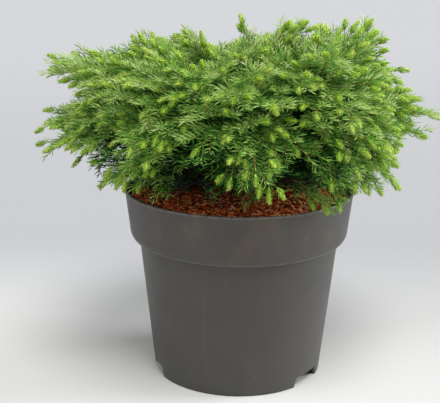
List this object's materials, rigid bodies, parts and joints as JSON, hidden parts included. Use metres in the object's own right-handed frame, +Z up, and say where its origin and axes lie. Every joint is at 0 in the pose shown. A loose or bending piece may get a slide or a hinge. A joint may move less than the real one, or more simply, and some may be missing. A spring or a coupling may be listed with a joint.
{
  "type": "potted dwarf black spruce",
  "caption": "Low, dense, nest-shaped dwarf conifer in a round tapered nursery pot with a wide rim band, topped with bark mulch.",
  "frame": {"origin": "middle of the pot's flat underside, on the surface that it stands on", "axes": "+Z up the pot's axis, -Y towards the front of the plant, +X to its right"},
  "size_m": [0.4918, 0.4803, 0.4508],
  "materials": {
    "pot_plastic": "matt moulded, warm dark grey",
    "bark_mulch": "loose shredded bark, red-brown",
    "spruce_bark": "rough scaly bark, grey-brown",
    "spruce_needles": "waxy needles, mid green with lime new growth"
  },
  "bodies": {
    "root": {"pot": "pot_plastic", "growing_medium": "bark_mulch", "stem": "spruce_bark", "bough_skirt_1": "spruce_bark", "bough_skirt_2": "spruce_bark", "bough_skirt_3": "spruce_bark", "bough_skirt_4": "spruce_bark", "bough_skirt_5": "spruce_bark", "bough_skirt_6": "spruce_bark", "bough_skirt_7": "spruce_bark", "bough_skirt_8": "spruce_bark", "bough_side_1": "spruce_bark", "bough_side_2": "spruce_bark", "bough_side_3": "spruce_bark", "bough_side_4": "spruce_bark", "bough_side_5": "spruce_bark", "bough_side_6": "spruce_bark", "bough_side_7": "spruce_bark", "bough_side_8": "spruce_bark", "bough_shoulder_1": "spruce_bark", "bough_shoulder_2": "spruce_bark", "bough_shoulder_3": "spruce_bark", "bough_shoulder_4": "spruce_bark", "bough_shoulder_5": "spruce_bark", "bough_shoulder_6": "spruce_bark", "bough_crown_1": "spruce_bark", "bough_crown_2": "spruce_bark", "bough_crown_3": "spruce_bark", "foliage_skirt_1": "spruce_needles", "foliage_skirt_2": "spruce_needles", "foliage_skirt_3": "spruce_needles", "foliage_skirt_4": "spruce_needles", "foliage_skirt_5": "spruce_needles", "foliage_skirt_6": "spruce_needles", "foliage_skirt_7": "spruce_needles", "foliage_skirt_8": "spruce_needles", "foliage_side_1": "spruce_needles", "foliage_side_2": "spruce_needles", "foliage_side_3": "spruce_needles", "foliage_side_4": "spruce_needles", "foliage_side_5": "spruce_needles", "foliage_side_6": "spruce_needles", "foliage_side_7": "spruce_needles", "foliage_side_8": "spruce_needles", "foliage_shoulder_1": "spruce_needles", "foliage_shoulder_2": "spruce_needles", "foliage_shoulder_3": "spruce_needles", "foliage_shoulder_4": "spruce_needles", "foliage_shoulder_5": "spruce_needles", "foliage_shoulder_6": "spruce_needles", "foliage_crown_1": "spruce_needles", "foliage_crown_2": "spruce_needles", "foliage_crown_3": "spruce_needles"}
  },
  "joints": []
}
